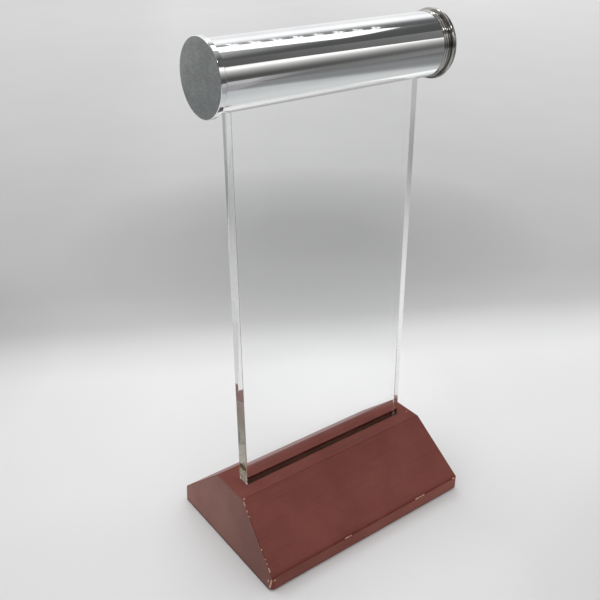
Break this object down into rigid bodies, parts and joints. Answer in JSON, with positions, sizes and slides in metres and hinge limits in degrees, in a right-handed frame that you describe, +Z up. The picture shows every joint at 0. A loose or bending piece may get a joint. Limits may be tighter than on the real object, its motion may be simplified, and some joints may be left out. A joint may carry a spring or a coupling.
{
  "type": "headband display stand",
  "caption": "Tabletop stand: a clear acrylic panel rises from a slotted, sloped wooden base and carries a polished tube with flanged end caps that a headband or strap hangs over.",
  "frame": {"origin": "centre of the stand's footprint on the table", "axes": "+X along the tube towards the ringed end cap, -Y towards the viewer in front, +Z up"},
  "size_m": [0.1398, 0.092, 0.2785],
  "materials": {
    "painted_wood": "semi-matte red-brown paint",
    "clear_acrylic": "clear, polished edges",
    "polished_aluminium": "mirror polished",
    "turned_aluminium": "polished rim, satin face",
    "black_nylon": "turned, matte",
    "zinc_steel": "bright zinc",
    "black_steel": "black oxide",
    "dark_felt": "pressed felt"
  },
  "bodies": {
    "root": {"base_block": "painted_wood", "acrylic_panel": "clear_acrylic", "head_tube": "polished_aluminium", "core_rod": "black_nylon", "left_end_cap": "turned_aluminium", "right_end_cap": "turned_aluminium", "cap_studs": "zinc_steel", "core_screws": "black_steel", "base_screws": "zinc_steel", "base_washers": "zinc_steel", "foot_pads": "dark_felt"}
  },
  "joints": []
}
